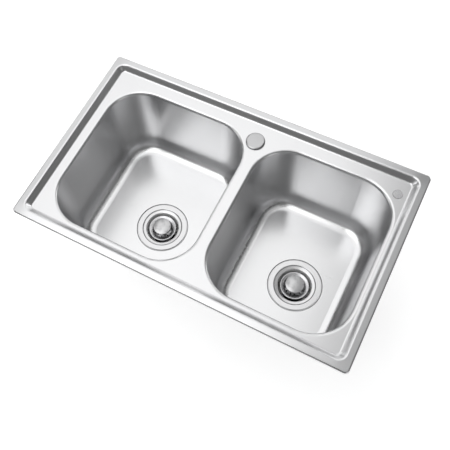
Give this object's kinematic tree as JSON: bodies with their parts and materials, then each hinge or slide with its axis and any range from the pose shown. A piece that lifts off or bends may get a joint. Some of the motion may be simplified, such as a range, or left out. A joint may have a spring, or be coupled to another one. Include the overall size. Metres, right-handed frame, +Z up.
{
  "type": "double bowl kitchen sink",
  "caption": "Pressed stainless drop-in kitchen sink with two bowls, stepped rim, covered tap hole and lift-out basket strainers.",
  "frame": {"origin": "centre of the rim, on the worktop plane that the lip rests on", "axes": "+X along the sink to the right, +Y to the rear, +Z up"},
  "size_m": [0.72, 0.43, 0.3376],
  "materials": {
    "satin_steel": "satin, brushed along its length",
    "strainer_steel": "finer satin",
    "bright_steel": "polished",
    "clip_steel": "plain mill finish",
    "zinc_steel": "zinc plated",
    "black_rubber": "matte",
    "damping_rubber": "matte",
    "grey_foam": "closed-cell foam",
    "grey_fibre": "pressed fibre",
    "grey_plastic": "moulded",
    "white_plastic": "moulded"
  },
  "bodies": {
    "sink": {"sink_shell": "satin_steel", "rim_seal": "grey_foam", "clip_lugs": "clip_steel", "clip_arms": "zinc_steel", "clip_screws": "zinc_steel", "corner_disc": "bright_steel", "left_strainer_body": "strainer_steel", "left_flange_gasket": "black_rubber", "left_under_gasket": "black_rubber", "left_friction_ring": "grey_fibre", "left_locknut": "grey_plastic", "left_tail_washer": "white_plastic", "left_tailpiece": "white_plastic", "left_slip_nut": "white_plastic", "left_sound_pad": "damping_rubber", "right_strainer_body": "strainer_steel", "right_flange_gasket": "black_rubber", "right_under_gasket": "black_rubber", "right_friction_ring": "grey_fibre", "right_locknut": "grey_plastic", "right_tail_washer": "white_plastic", "right_tailpiece": "white_plastic", "right_slip_nut": "white_plastic", "right_sound_pad": "damping_rubber"},
    "left_basket_unit": {"left_basket": "strainer_steel", "left_basket_knob": "bright_steel", "left_basket_stopper": "black_rubber", "left_basket_nut": "bright_steel"},
    "right_basket_unit": {"right_basket": "strainer_steel", "right_basket_knob": "bright_steel", "right_basket_stopper": "black_rubber", "right_basket_nut": "bright_steel"},
    "tap_cover_unit": {"tap_hole_cover": "bright_steel", "tap_cover_ring": "black_rubber", "tap_cover_legs": "white_plastic"}
  },
  "joints": [
    {"name": "left_basket_lift", "type": "slide", "parent": "sink", "child": "left_basket_unit", "axis": [0, 0, 1], "range_m": [0, 0.27]},
    {"name": "right_basket_lift", "type": "slide", "parent": "sink", "child": "right_basket_unit", "axis": [0, 0, 1], "range_m": [0, 0.27]},
    {"name": "tap_cover_lift", "type": "slide", "parent": "sink", "child": "tap_cover_unit", "axis": [0, 0, 1], "range_m": [0, 0.05]}
  ]
}
